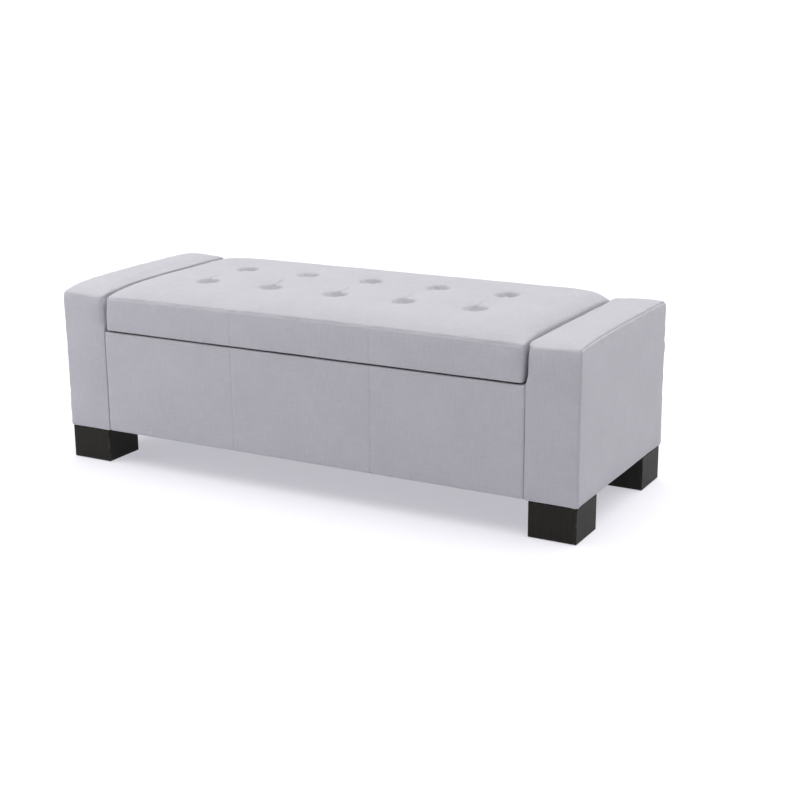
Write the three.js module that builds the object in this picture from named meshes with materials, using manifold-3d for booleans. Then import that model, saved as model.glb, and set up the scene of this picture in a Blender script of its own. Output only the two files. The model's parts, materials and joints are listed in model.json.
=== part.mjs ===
// Upholstered storage bench: a fabric-covered box between two padded arms, with a lift-up tufted lid.
// Millimetres, +Z up. X runs along the bench and the front faces -Y.
// The origin is on the floor, under the middle of the bench.
import * as THREE from "three";
import { mergeVertices } from "three/addons/utils/BufferGeometryUtils.js";
import Module from "manifold-3d";

const wasm = await Module();
wasm.setup();

// ---- Driving dimensions ----

const LENGTH = 1291.6;
const DEPTH = 495.3;
const HEIGHT = 431.8;

const FIT = 0.3; // gap between two pieces that touch
const OVERCUT = 1; // how far a cutter reaches past what it cuts
const BOARD = 15; // carcass panels and rails
const FABRIC = 1.5; // upholstery cloth with its backing
const PADDING = 8.2; // foam between the boards and the cloth
const LINING = 1; // cloth inside the box and under the lid
const STAPLE_LIP = 1.2; // cloth folded over an edge

const LEG_SIZE = 106;
const LEG_HEIGHT = 78;
const LEG_INSET_X = 3;
const LEG_INSET_Y = 5;
const LEG_BEVEL = 1.5;
const LEG_BOLT_RADIUS = 4;
const LEG_BOLT_DEPTH = 40; // how far the bolt reaches into the leg
const LEG_NUT_RADIUS = 9;
const LEG_NUT_HEIGHT = 7;
const LEG_BOLT_TAIL = 5; // thread left above the nut
const BOLT_CLEARANCE = 0.6;

const ARM_WIDTH = 117;
const ARM_DROP = 14; // crest of the arm below the crest of the lid
const ARM_CROWN = 16; // crest of the arm above its front and rear corners
const ARM_CORNER = 28;
const ARM_RAIL = 18;

const REAR_INSET = 8; // rear of the box and lid, in from the rear of the arms

const LID_THICKNESS = 110.3;
const LID_RIM_GAP = 4; // between the box's rim and the lid
const LID_END_GAP = 5.5; // between the lid and each arm
const LID_CROWN = 8;
const LID_CORNER = 36;
const LID_RAIL_WIDTH = 22;
const LID_RAIL_HEIGHT = 43;
const LID_DECK = 12;

const BUTTON_COLUMNS = 5;
const BUTTON_ROWS = ["front", "rear"];
const BUTTON_PITCH = 171;
const BUTTON_ROW_PITCH = 160;
const BUTTONS_FORWARD = 7.5; // middle of the two rows, in front of the middle of the lid
const BUTTON_RADIUS = 11.5;
const BUTTON_HEIGHT = 7;
const BUTTON_EDGE = 2; // upright edge under the button's dome
const BUTTON_SINK = 14; // top of the button below the crest of the lid
const BUTTON_WELL = 18; // radius of the dimple in the foam
const TWINE_RADIUS = 1.2;
const TWINE_HOLE = 2.4;
const KNOT_RADIUS = 6;
const KNOT_HEIGHT = 2;

const HINGE_END_GAP = 23.3; // end of the hinge in from the lid's end
const HINGE_KNUCKLES = 25;
const HINGE_LEAF = 1.2;
const HINGE_LEAF_GAP = 1; // between the closed leaves
const HINGE_LEAF_WIDTH = 22;
const HINGE_PIN_RADIUS = 1.5;
const HINGE_BORE = 1.7;
const HINGE_BARREL = 2.9;
const HINGE_STANDOFF = 1.1; // barrel to the rear of the box
const KNUCKLE_GAP = 0.4;

const STRUT_LID_DROP = 16; // lid stud below the hinge line
const STRUT_FLOOR_GAP = 22; // box stud above the lining on the storage floor
const STRUT_REAR_GAP = 15; // box stud in front of the lining on the back panel
const STRUT_FROM_ARM = 17.8; // strut's own plane in from the arm's inner face
const STRUT_TUBE_RADIUS = 7.5;
const STRUT_BORE = 6;
const STRUT_GLAND_LENGTH = 10;
const STRUT_GLAND_BORE = 4.2;
const STRUT_TUBE_BASE = 9; // box stud to the near end of the tube
const STRUT_TUBE_WALL = 3; // closed end of the tube
const STRUT_TUBE_SLACK = 20; // far end of the tube to the lid stud, lid closed
const STRUT_ROD_SLACK = 17; // rod tip to the box stud, lid closed
const STRUT_ROD_RADIUS = 3.5;
const STRUT_PISTON_RADIUS = 5.4;
const STRUT_PISTON_LENGTH = 8;
const EYE_RADIUS = 7;
const EYE_WIDTH = 10;
const EYE_BORE = 3.3;
const EYE_NECK_RADIUS = 3.5;
const STUD_RADIUS = 3;
const STUD_COLLAR = 5;
const STUD_HEAD_WIDTH = 2.4;
const EYE_SIDE_PLAY = 0.6;
const BRACKET_PLATE = 2;
const BRACKET_HALF = 14;
const LID_PLATE_HALF = 21;
const EAR_THICKNESS = 2.5;
const EAR_TO_EYE = 7.5;

const ROUND = 12; // facets of a small round piece
const FINE_ROUND = 16;
const CURVE_STEPS = 8;
const DOME_STEPS = 4;

// ---- Places worked out from them ----

/** How far a rounded corner has dropped at `inset` from the upright side. */
function cornerFall(corner, inset) {
  return corner * (1 - Math.sqrt(inset / corner)) ** 2;
}

const front = -DEPTH / 2;
const armRear = DEPTH / 2;
const boxRear = armRear - REAR_INSET;
const skin = FABRIC + FIT + PADDING; // cloth and foam over a board
const armOuter = LENGTH / 2;
const armInner = armOuter - ARM_WIDTH;
const sideBoardOuter = armOuter - skin;
const sideBoardInner = sideBoardOuter - BOARD;
const endBoardInner = armInner + skin; // storage side of the box's end panel
const endBoardOuter = endBoardInner + BOARD;
const boardFront = front + skin;
const armBoardRear = armRear - skin;
const boxBoardRear = boxRear - skin;
const storageFront = boardFront + BOARD;
const storageRear = boxBoardRear - BOARD;

const bodyBottom = LEG_HEIGHT; // underside of the cloth
const boardBottom = bodyBottom + LINING + FIT;
const storageFloor = boardBottom + BOARD;
const lidBottom = HEIGHT - LID_THICKNESS;
const rim = lidBottom - LID_RIM_GAP;
const boardRim = rim - STAPLE_LIP;
const armCrest = HEIGHT - ARM_DROP;
const armBoardTop = armCrest - ARM_CROWN - cornerFall(ARM_CORNER, skin) - PADDING;
const armRailBottom = armBoardTop - ARM_RAIL;

const lidEnd = armInner - LID_END_GAP;
const lidFrameEnd = lidEnd - skin;
const hingeEnd = lidEnd - HINGE_END_GAP;
const lidFrameBottom = lidBottom + LINING + FIT;
const deckBottom = lidFrameBottom + LID_RAIL_HEIGHT + FIT;
const deckTop = deckBottom + LID_DECK;
const buttonSeat = HEIGHT - BUTTON_SINK - BUTTON_HEIGHT;

const hinge = {
  y: boxRear + HINGE_STANDOFF + HINGE_BARREL,
  z: lidBottom - FIT - HINGE_LEAF - HINGE_LEAF_GAP / 2,
};

/**
 * The lid strut: its plane, its two studs, the distance between them with the lid closed, and how far
 * it leans forwards. Both studs are as far from the hinge line as each other, so the strut turns by
 * exactly half of what the lid turns, at every opening.
 */
function strutLayout() {
  const boxStud = {
    y: storageRear - FIT - LINING - STRUT_REAR_GAP,
    z: storageFloor + FIT + LINING + STRUT_FLOOR_GAP,
  };
  const radius = Math.hypot(hinge.y - boxStud.y, hinge.z - boxStud.z);
  const lidStud = {
    y: hinge.y - Math.sqrt(radius ** 2 - STRUT_LID_DROP ** 2),
    z: hinge.z - STRUT_LID_DROP,
  };
  const shortest = Math.hypot(lidStud.y - boxStud.y, lidStud.z - boxStud.z);
  const lean = Math.atan2(boxStud.y - lidStud.y, lidStud.z - boxStud.z);
  return { x: armInner - STRUT_FROM_ARM, boxStud, lidStud, shortest, lean };
}

const strut = strutLayout();

// ---- Materials ----

function paint(name, color, roughness, metalness = 0) {
  return new THREE.MeshStandardMaterial({ name, color, roughness, metalness });
}

const upholstery = paint("upholstery", 0xb9b9c4, 0.92);
const foam = paint("foam", 0xe8dfb8, 0.95);
const plywood = paint("plywood", 0xc9a878, 0.75);
const blackCloth = paint("black_cloth", 0x1b1b1d, 0.95);
const blackWood = paint("black_wood", 0x17150f, 0.45);
const steel = paint("zinc_steel", 0xb4b6b8, 0.35, 1);
const blackSteel = paint("black_steel", 0x1d1e20, 0.4, 1);
const polishedRod = paint("polished_rod", 0xd5d7da, 0.15, 1);

// ---- Shape helpers ----

function solidOf(geometry) {
  const bare = geometry.clone();
  bare.deleteAttribute("normal");
  bare.deleteAttribute("uv");
  const merged = mergeVertices(bare, 1e-4);
  const vertProperties = new Float32Array(merged.attributes.position.array);
  const triVerts = new Uint32Array(merged.index.array);
  return new wasm.Manifold(new wasm.Mesh({ numProp: 3, vertProperties, triVerts }));
}

function geometryOf(solid) {
  const { vertProperties, triVerts } = solid.getMesh();
  const geometry = new THREE.BufferGeometry();
  geometry.setAttribute("position", new THREE.BufferAttribute(vertProperties, 3));
  geometry.setIndex(new THREE.BufferAttribute(triVerts, 1));
  geometry.computeVertexNormals();
  return geometry;
}

function carve(body, ...tools) {
  return geometryOf(tools.reduce((left, tool) => left.subtract(solidOf(tool)), solidOf(body)));
}

function fuse(...pieces) {
  return geometryOf(pieces.map(solidOf).reduce((whole, piece) => whole.add(piece)));
}

/** A box between two values on each axis. */
function block([x0, x1], [y0, y1], [z0, z1]) {
  const box = new THREE.BoxGeometry(x1 - x0, y1 - y0, z1 - z0);
  return box.translate((x0 + x1) / 2, (y0 + y1) / 2, (z0 + z1) / 2);
}

/** From a to b on the right of the bench, or the same span mirrored on the left. */
function span(side, a, b) {
  return side > 0 ? [Math.min(a, b), Math.max(a, b)] : [-Math.max(a, b), -Math.min(a, b)];
}

/** A closed profile of [radius, height] points turned about Z. */
function turned(profile, facets = ROUND) {
  const points = profile.map(([radius, height]) => new THREE.Vector2(radius, height));
  return new THREE.LatheGeometry(points, facets).rotateX(Math.PI / 2);
}

/** A solid cylinder along Z. */
function peg(radius, bottom, top, facets = ROUND) {
  return turned([[0, bottom], [radius, bottom], [radius, top], [0, top]], facets);
}

/** A tube along Z. */
function sleeve(inner, outer, bottom, top, facets = ROUND) {
  return turned([[inner, bottom], [outer, bottom], [outer, top], [inner, top], [inner, bottom]], facets);
}

/** Turns a piece made along Z to lie along X, pointing to the right or the left. */
function alongX(geometry, side = 1) {
  return geometry.rotateY((side * Math.PI) / 2);
}

/** A (y, z) outline drawn out along X. */
function drawnAlongX(outline, [x0, x1]) {
  const shape = new THREE.ExtrudeGeometry(outline, {
    depth: x1 - x0,
    bevelEnabled: false,
    curveSegments: CURVE_STEPS,
  });
  const turn = new THREE.Matrix4().makeBasis(
    new THREE.Vector3(0, 1, 0),
    new THREE.Vector3(0, 0, 1),
    new THREE.Vector3(1, 0, 0),
  );
  return shape.applyMatrix4(turn).translate(x0, 0, 0);
}

/** Side view of a padded block with rounded top corners and a crowned top, `inward` smaller all round. */
function crownedOutline({ y0, y1, bottom, crest, crown, corner }, inward = 0) {
  const [a, b, top] = [y0 + inward, y1 - inward, crest - inward];
  const round = Math.max(corner - inward, 1);
  const shoulder = top - crown;
  const outline = new THREE.Shape();
  outline.moveTo(a, bottom);
  outline.lineTo(b, bottom);
  outline.lineTo(b, shoulder - round);
  outline.quadraticCurveTo(b, shoulder, b - round, shoulder);
  outline.quadraticCurveTo((a + b) / 2, shoulder + 2 * crown, a + round, shoulder);
  outline.quadraticCurveTo(a, shoulder, a, shoulder - round);
  outline.closePath();
  return outline;
}

// ---- Building the tree ----

const bench = new THREE.Group();
bench.name = "storage_bench";
const base = new THREE.Group();
const lid = new THREE.Group();
bench.add(base, lid);

function place(group, name, geometry, material) {
  const mesh = new THREE.Mesh(geometry, material);
  mesh.name = name;
  group.add(mesh);
  return mesh;
}

/** A plain board, centred on its own position. */
function board(group, name, [x0, x1], [y0, y1], [z0, z1], material = plywood) {
  const mesh = place(group, name, new THREE.BoxGeometry(x1 - x0, y1 - y0, z1 - z0), material);
  mesh.position.set((x0 + x1) / 2, (y0 + y1) / 2, (z0 + z1) / 2);
  return mesh;
}

const sides = [["left", -1], ["right", 1]];

/** The storage box: front, back and floor panels between the two end panels. */
function addBox() {
  const between = [-endBoardInner + FIT, endBoardInner - FIT];
  board(base, "front_panel", between, [boardFront, storageFront], [boardBottom, boardRim - FIT]);
  board(base, "back_panel", between, [storageRear, boxBoardRear], [boardBottom, boardRim - FIT]);
  const insideDepth = [storageFront + FIT, storageRear - FIT];
  board(base, "floor_panel", between, insideDepth, [boardBottom, storageFloor]);
  for (const [name, side] of sides) {
    const thickness = span(side, endBoardInner, endBoardOuter);
    board(base, `${name}_end_panel`, thickness, [boardFront, armBoardRear], [boardBottom, armBoardTop]);
  }
}

/** One arm's timber: an outer panel and four rails that tie it to the box's end panel. */
function addArmFrame(name, side) {
  const inside = span(side, endBoardOuter + FIT, sideBoardInner - FIT);
  const full = [boardFront, armBoardRear];
  const upright = [boardBottom, armRailBottom - FIT];
  const outside = span(side, sideBoardInner, sideBoardOuter);
  board(base, `${name}_arm_side_panel`, outside, full, [boardBottom, armBoardTop]);
  board(base, `${name}_arm_top_rail`, inside, full, [armRailBottom, armBoardTop]);
  board(base, `${name}_arm_front_rail`, inside, [boardFront, boardFront + BOARD], upright);
  board(base, `${name}_arm_rear_rail`, inside, [armBoardRear - BOARD, armBoardRear], upright);
  const railDepth = [boardFront + BOARD + FIT, armBoardRear - BOARD - FIT];
  const rail = block(inside, railDepth, [boardBottom, boardBottom + ARM_RAIL]);
  place(base, `${name}_arm_bottom_rail`, carve(rail, ...legBoltHoles(side)), plywood);
}

/** One arm's foam and its fitted cloth cover, both open underneath and, below the rim, towards the box. */
function addArmUpholstery(name, side) {
  const arm = {
    y0: front,
    y1: armRear,
    bottom: bodyBottom,
    crest: armCrest,
    crown: ARM_CROWN,
    corner: ARM_CORNER,
  };
  const below = bodyBottom - OVERCUT;
  const intoBox = block(
    span(side, armInner - OVERCUT, endBoardInner - FIT),
    [boardFront - FIT, boxBoardRear],
    [below, rim - FABRIC],
  );

  const outer = drawnAlongX(crownedOutline(arm), span(side, armInner, armOuter));
  const inner = drawnAlongX(
    crownedOutline({ ...arm, bottom: below }, FABRIC),
    span(side, armInner + FABRIC, armOuter - FABRIC),
  );
  place(base, `${name}_arm_cover`, carve(outer, inner, intoBox), upholstery);

  const inward = FABRIC + FIT;
  const pad = drawnAlongX(
    crownedOutline({ ...arm, bottom: boardBottom }, inward),
    span(side, armInner + inward, armOuter - inward),
  );
  const timber = block(
    span(side, endBoardInner - FIT, sideBoardOuter + FIT),
    [boardFront - FIT, armBoardRear + FIT],
    [below, armBoardTop + FIT],
  );
  place(base, `${name}_arm_foam`, carve(pad, timber, intoBox), foam);
}

/** Padded cloth on the front and back panels, folded over the rim. */
function addBoxCovers() {
  const ends = [-armInner + FIT, armInner - FIT];
  const lip = [boardRim, rim];
  place(base, "front_cover", fuse(
    block(ends, [front, boardFront - FIT], [bodyBottom, rim]),
    block(ends, [boardFront - FIT - OVERCUT, storageFront], lip),
  ), upholstery);
  place(base, "back_cover", fuse(
    block(ends, [boxBoardRear + FIT, boxRear], [bodyBottom, rim]),
    block(ends, [storageRear, boxBoardRear + FIT + OVERCUT], lip),
  ), upholstery);
}

/** The open-topped lining of the box, and the dust cover under the whole bench. */
function addLinings() {
  const x = endBoardInner - 2 * FIT;
  const y = [storageFront + FIT, storageRear - FIT];
  const z = [storageFloor + FIT, boardRim - FIT];
  const hollow = block(
    [-x + LINING, x - LINING],
    [y[0] + LINING, y[1] - LINING],
    [z[0] + LINING, z[1] + OVERCUT],
  );
  place(base, "storage_lining", carve(block([-x, x], y, z), hollow), blackCloth);

  const sheet = block(
    [-sideBoardOuter, sideBoardOuter],
    [boardFront, boxBoardRear],
    [bodyBottom, bodyBottom + LINING],
  );
  place(base, "dust_cover", carve(sheet, ...legBoltHoles(-1), ...legBoltHoles(1)), blackCloth);
}

/** Centres of the two legs under one arm, front leg first. */
function legPlaces(side) {
  const x = side * (armOuter - LEG_INSET_X - LEG_SIZE / 2);
  const y = armRear - LEG_INSET_Y - LEG_SIZE / 2;
  return [[x, -y], [x, y]];
}

/** Drills for the two leg bolts of one arm, through the dust cover and the bottom rail. */
function legBoltHoles(side) {
  const radius = LEG_BOLT_RADIUS + BOLT_CLEARANCE;
  return legPlaces(side).map(([x, y]) =>
    peg(radius, bodyBottom - OVERCUT, boardBottom + ARM_RAIL + OVERCUT).translate(x, y, 0),
  );
}

/** A square leg with eased edges and the blind hole for its bolt. */
function legGeometry() {
  const half = LEG_SIZE / 2 - LEG_BEVEL;
  const outline = new THREE.Shape();
  outline.moveTo(-half, -half);
  outline.lineTo(half, -half);
  outline.lineTo(half, half);
  outline.lineTo(-half, half);
  outline.closePath();
  const top = LEG_HEIGHT - FIT;
  const leg = new THREE.ExtrudeGeometry(outline, {
    depth: top - 2 * LEG_BEVEL,
    bevelThickness: LEG_BEVEL,
    bevelSize: LEG_BEVEL,
    bevelSegments: 1,
  }).translate(0, 0, LEG_BEVEL);
  return carve(leg, peg(LEG_BOLT_RADIUS + FIT, LEG_HEIGHT - LEG_BOLT_DEPTH - FIT, LEG_HEIGHT));
}

/** A bolt that holds a leg to the arm's bottom rail, with its flanged nut. */
function legBoltGeometry() {
  const nutBottom = boardBottom + ARM_RAIL + FIT;
  const nutTop = nutBottom + LEG_NUT_HEIGHT;
  const bottom = LEG_HEIGHT - LEG_BOLT_DEPTH;
  return turned([
    [0, bottom],
    [LEG_BOLT_RADIUS, bottom],
    [LEG_BOLT_RADIUS, nutBottom],
    [LEG_NUT_RADIUS, nutBottom],
    [LEG_NUT_RADIUS, nutTop],
    [LEG_BOLT_RADIUS, nutTop],
    [LEG_BOLT_RADIUS, nutTop + LEG_BOLT_TAIL],
    [0, nutTop + LEG_BOLT_TAIL],
  ]);
}

function addLegs() {
  for (const [name, side] of sides) {
    legPlaces(side).forEach(([x, y], i) => {
      const end = i ? "rear" : "front";
      place(base, `leg_${end}_${name}`, legGeometry(), blackWood).position.set(x, y, 0);
      place(base, `leg_bolt_${end}_${name}`, legBoltGeometry(), steel).position.set(x, y, 0);
    });
  }
}

/** Places of the buttons, from the left, on the front and the rear row. */
function buttonPlaces() {
  const middle = (front + boxRear) / 2 - BUTTONS_FORWARD;
  return BUTTON_ROWS.flatMap((row, r) =>
    Array.from({ length: BUTTON_COLUMNS }, (_, i) => ({
      name: `button_${row}_${i + 1}`,
      x: (i - (BUTTON_COLUMNS - 1) / 2) * BUTTON_PITCH,
      y: middle + (r - 0.5) * BUTTON_ROW_PITCH,
    })),
  );
}

/** A covered button, with the twine that ties it down under the deck. */
function buttonGeometry() {
  const knotTop = deckBottom - FIT;
  const seat = buttonSeat + FIT;
  const edge = seat + BUTTON_EDGE;
  const dome = Array.from({ length: DOME_STEPS }, (_, i) => {
    const turn = (i / DOME_STEPS) * (Math.PI / 2);
    return [BUTTON_RADIUS * Math.cos(turn), edge + (BUTTON_HEIGHT - BUTTON_EDGE) * Math.sin(turn)];
  });
  return turned([
    [0, knotTop - KNOT_HEIGHT],
    [KNOT_RADIUS, knotTop - KNOT_HEIGHT],
    [KNOT_RADIUS, knotTop],
    [TWINE_RADIUS, knotTop],
    [TWINE_RADIUS, seat],
    [BUTTON_RADIUS, seat],
    ...dome,
    [0, seat + BUTTON_HEIGHT],
  ]);
}

/** The lid: a timber frame and deck, a foam block, its cloth cover, the lining under it and the buttons. */
function addLid() {
  const frameFront = front + skin;
  const frameRear = boxRear - skin;
  const railZ = [lidFrameBottom, lidFrameBottom + LID_RAIL_HEIGHT];
  const frameX = [-lidFrameEnd, lidFrameEnd];
  board(lid, "lid_front_rail", frameX, [frameFront, frameFront + LID_RAIL_WIDTH], railZ);
  board(lid, "lid_rear_rail", frameX, [frameRear - LID_RAIL_WIDTH, frameRear], railZ);
  const sideRailY = [frameFront + LID_RAIL_WIDTH + FIT, frameRear - LID_RAIL_WIDTH - FIT];
  for (const [name, side] of sides) {
    const x = span(side, lidFrameEnd - LID_RAIL_WIDTH, lidFrameEnd);
    board(lid, `lid_${name}_rail`, x, sideRailY, railZ);
  }

  const places = buttonPlaces();
  const drill = (radius, bottom, top) => {
    return places.map(({ x, y }) => peg(radius, bottom, top).translate(x, y, 0));
  };
  const twineHoles = drill(TWINE_HOLE, deckBottom - OVERCUT, HEIGHT);
  const wells = drill(BUTTON_WELL, buttonSeat, HEIGHT + OVERCUT);

  const deck = block(frameX, [frameFront, frameRear], [deckBottom, deckTop]);
  place(lid, "lid_deck", carve(deck, ...twineHoles), plywood);

  const pillow = {
    y0: front,
    y1: boxRear,
    bottom: lidBottom,
    crest: HEIGHT,
    crown: LID_CROWN,
    corner: LID_CORNER,
  };
  const outer = drawnAlongX(crownedOutline(pillow), [-lidEnd, lidEnd]);
  const inner = drawnAlongX(
    crownedOutline({ ...pillow, bottom: lidBottom - OVERCUT }, FABRIC),
    [-lidEnd + FABRIC, lidEnd - FABRIC],
  );
  place(lid, "lid_cover", carve(outer, inner, ...wells), upholstery);

  const inward = FABRIC + FIT;
  const pad = drawnAlongX(
    crownedOutline({ ...pillow, bottom: lidFrameBottom }, inward),
    [-lidEnd + inward, lidEnd - inward],
  );
  const timber = block(
    [-lidFrameEnd - FIT, lidFrameEnd + FIT],
    [frameFront - FIT, frameRear + FIT],
    [lidFrameBottom - OVERCUT, deckTop + FIT],
  );
  place(lid, "lid_foam", carve(pad, timber, ...wells, ...twineHoles), foam);

  const liningX = lidEnd - inward;
  const underside = [lidBottom, lidBottom + LINING];
  board(lid, "lid_lining", [-liningX, liningX], [front + inward, boxRear - inward], underside, blackCloth);

  for (const { name, x, y } of places) {
    place(lid, name, buttonGeometry(), upholstery).position.set(x, y, 0);
  }
}

/** One leaf of the continuous hinge: a strip, with knuckles at every other place from `first` on. */
function leafGeometry(first, [z0, z1]) {
  const pitch = (2 * hingeEnd) / HINGE_KNUCKLES;
  const gap = KNUCKLE_GAP / 2;
  const leafEdge = -HINGE_STANDOFF - HINGE_BARREL - HINGE_LEAF_WIDTH;
  const strip = block([-hingeEnd, hingeEnd], [leafEdge, -HINGE_BORE - gap], [z0, z1]);
  const notches = [];
  const knuckles = [];
  for (let i = 0; i < HINGE_KNUCKLES; i++) {
    const x0 = -hingeEnd + i * pitch;
    const x1 = x0 + pitch;
    if (i % 2 === first) {
      knuckles.push(alongX(sleeve(HINGE_BORE, HINGE_BARREL, x0 + gap, x1 - gap)));
    } else {
      const barrel = [-HINGE_BARREL - KNUCKLE_GAP, 0];
      notches.push(block([x0 - gap, x1 + gap], barrel, [z0 - OVERCUT, z1 + OVERCUT]));
    }
  }
  return fuse(carve(strip, ...notches), ...knuckles);
}

/** The continuous hinge along the rear of the lid. */
function addHinge() {
  const near = HINGE_LEAF_GAP / 2;
  const far = near + HINGE_LEAF;
  const at = (mesh) => mesh.position.set(0, hinge.y, hinge.z);
  at(place(base, "hinge_box_leaf", leafGeometry(0, [-far, -near]), steel));
  at(place(lid, "hinge_lid_leaf", leafGeometry(1, [near, far]), steel));
  const pin = alongX(peg(HINGE_PIN_RADIUS, -hingeEnd, hingeEnd));
  at(place(base, "hinge_pin", pin, steel));
}

const eyeHalf = EYE_WIDTH / 2;

/** An eye across X at the origin, joined by a neck to a shaft that runs along Z. */
function withEye(shaft, neckEnd) {
  const eye = alongX(peg(EYE_RADIUS, -eyeHalf, eyeHalf, FINE_ROUND));
  const neck = peg(EYE_NECK_RADIUS, Math.min(0, neckEnd), Math.max(0, neckEnd));
  const bore = alongX(peg(EYE_BORE, -EYE_WIDTH, EYE_WIDTH, FINE_ROUND));
  return carve(fuse(eye, neck, shaft), bore);
}

/** The tube of a strut, from its eye on the box stud up to the gland. */
function strutTubeGeometry() {
  const bottom = STRUT_TUBE_BASE;
  const top = strut.shortest - STRUT_TUBE_SLACK;
  const tube = turned([
    [0, bottom],
    [STRUT_TUBE_RADIUS, bottom],
    [STRUT_TUBE_RADIUS, top],
    [STRUT_GLAND_BORE, top],
    [STRUT_GLAND_BORE, top - STRUT_GLAND_LENGTH],
    [STRUT_BORE, top - STRUT_GLAND_LENGTH],
    [STRUT_BORE, bottom + STRUT_TUBE_WALL],
    [0, bottom + STRUT_TUBE_WALL],
  ], FINE_ROUND);
  return withEye(tube, bottom + 1);
}

/** The rod of a strut, hanging from its eye on the lid stud down to the piston. */
function strutRodGeometry() {
  const tip = -(strut.shortest - STRUT_ROD_SLACK);
  const pistonTop = tip + STRUT_PISTON_LENGTH;
  const rod = turned([
    [0, tip],
    [STRUT_PISTON_RADIUS, tip],
    [STRUT_PISTON_RADIUS, pistonTop],
    [STRUT_ROD_RADIUS, pistonTop],
    [STRUT_ROD_RADIUS, -EYE_RADIUS + 1],
    [0, -EYE_RADIUS + 1],
  ], FINE_ROUND);
  return withEye(rod, -EYE_RADIUS);
}

/** A stud across X: collar, shank through the eye, and head, from `from` towards the strut's plane. */
function studGeometry(side, { y, z }, from) {
  const direction = Math.sign(strut.x - from);
  const eyeNear = strut.x - direction * (eyeHalf + EYE_SIDE_PLAY);
  const eyeFar = strut.x + direction * (eyeHalf + EYE_SIDE_PLAY);
  const stretch = (radius, a, b) => {
    const [x0, x1] = span(side, a, b);
    return alongX(peg(radius, x0, x1)).translate(0, y, z);
  };
  return fuse(
    stretch(STUD_COLLAR, from - direction, eyeNear),
    stretch(STUD_RADIUS, from, eyeFar + direction),
    stretch(STUD_COLLAR, eyeFar, eyeFar + direction * STUD_HEAD_WIDTH),
  );
}

/** One lid strut, its bracket on the box's end wall and its bracket under the lid. */
function addStrut(name, side) {
  const { boxStud, lidStud } = strut;
  const wall = endBoardInner - 3 * FIT - LINING;
  const plate = block(
    span(side, wall - BRACKET_PLATE, wall),
    [boxStud.y - BRACKET_HALF, boxStud.y + BRACKET_HALF],
    [boxStud.z - BRACKET_HALF, boxStud.z + BRACKET_HALF],
  );
  const boxBracket = fuse(plate, studGeometry(side, boxStud, wall - BRACKET_PLATE));
  place(base, `strut_box_bracket_${name}`, boxBracket, blackSteel);

  const under = lidBottom - FIT;
  const earFace = strut.x - eyeHalf - EAR_TO_EYE;
  const top = block(
    span(side, earFace - BRACKET_HALF, earFace),
    [lidStud.y - LID_PLATE_HALF, lidStud.y + LID_PLATE_HALF],
    [under - BRACKET_PLATE, under],
  );
  const ear = block(
    span(side, earFace - EAR_THICKNESS, earFace),
    [lidStud.y - EYE_RADIUS, lidStud.y + EYE_RADIUS],
    [lidStud.z - EYE_RADIUS, under],
  );
  const lidBracket = fuse(top, ear, studGeometry(side, lidStud, earFace));
  place(lid, `strut_lid_bracket_${name}`, lidBracket, blackSteel);

  const tube = place(base, `strut_tube_${name}`, strutTubeGeometry(), blackSteel);
  tube.position.set(side * strut.x, boxStud.y, boxStud.z);
  tube.rotation.x = strut.lean;
  const rod = place(lid, `strut_rod_${name}`, strutRodGeometry(), polishedRod);
  rod.position.set(side * strut.x, lidStud.y, lidStud.z);
  rod.rotation.x = strut.lean;
}

addBox();
addBoxCovers();
addLinings();
addLegs();
addLid();
addHinge();
for (const [name, side] of sides) {
  addArmFrame(name, side);
  addArmUpholstery(name, side);
  addStrut(name, side);
}

export default bench;
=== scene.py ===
"""Looks of an upholstered storage bench: a long box on square legs, with padded arms and a tufted lid."""

import json
import math

import bmesh
import bpy
import numpy as np
from mathutils import Matrix, Vector, noise
from mathutils.bvhtree import BVHTree


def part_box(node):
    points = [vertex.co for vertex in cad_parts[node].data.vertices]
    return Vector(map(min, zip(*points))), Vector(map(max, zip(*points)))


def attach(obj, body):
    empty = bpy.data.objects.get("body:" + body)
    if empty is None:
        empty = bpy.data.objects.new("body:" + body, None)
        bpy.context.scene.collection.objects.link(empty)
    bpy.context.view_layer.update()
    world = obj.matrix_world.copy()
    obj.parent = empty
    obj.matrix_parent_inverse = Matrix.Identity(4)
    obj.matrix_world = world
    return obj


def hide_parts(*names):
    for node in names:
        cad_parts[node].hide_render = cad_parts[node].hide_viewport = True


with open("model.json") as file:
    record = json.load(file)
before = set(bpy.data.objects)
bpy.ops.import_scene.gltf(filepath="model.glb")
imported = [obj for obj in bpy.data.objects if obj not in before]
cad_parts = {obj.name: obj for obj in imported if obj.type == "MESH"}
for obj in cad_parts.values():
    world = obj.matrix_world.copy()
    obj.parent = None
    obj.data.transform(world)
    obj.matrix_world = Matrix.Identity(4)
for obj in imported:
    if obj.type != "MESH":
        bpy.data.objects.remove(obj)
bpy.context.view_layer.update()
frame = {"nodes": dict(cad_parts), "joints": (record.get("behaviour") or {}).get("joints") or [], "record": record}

MM = 0.001

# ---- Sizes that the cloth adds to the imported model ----

CELL = 8 * MM  # mesh spacing on plain cloth
FINE_CELL = 3.2 * MM  # mesh spacing around buttons
FINE_ALONG = 30 * MM  # reach of the fine mesh on both sides of a column of buttons
FINE_ACROSS = 34 * MM  # and of a row of them
SEAM_STEPS = (1.2 * MM, 3.5 * MM, 6 * MM)  # extra mesh lines on both sides of a seam
CLOTH_PRESSURE = 4.0
CLOTH_FRAMES = 16

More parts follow.
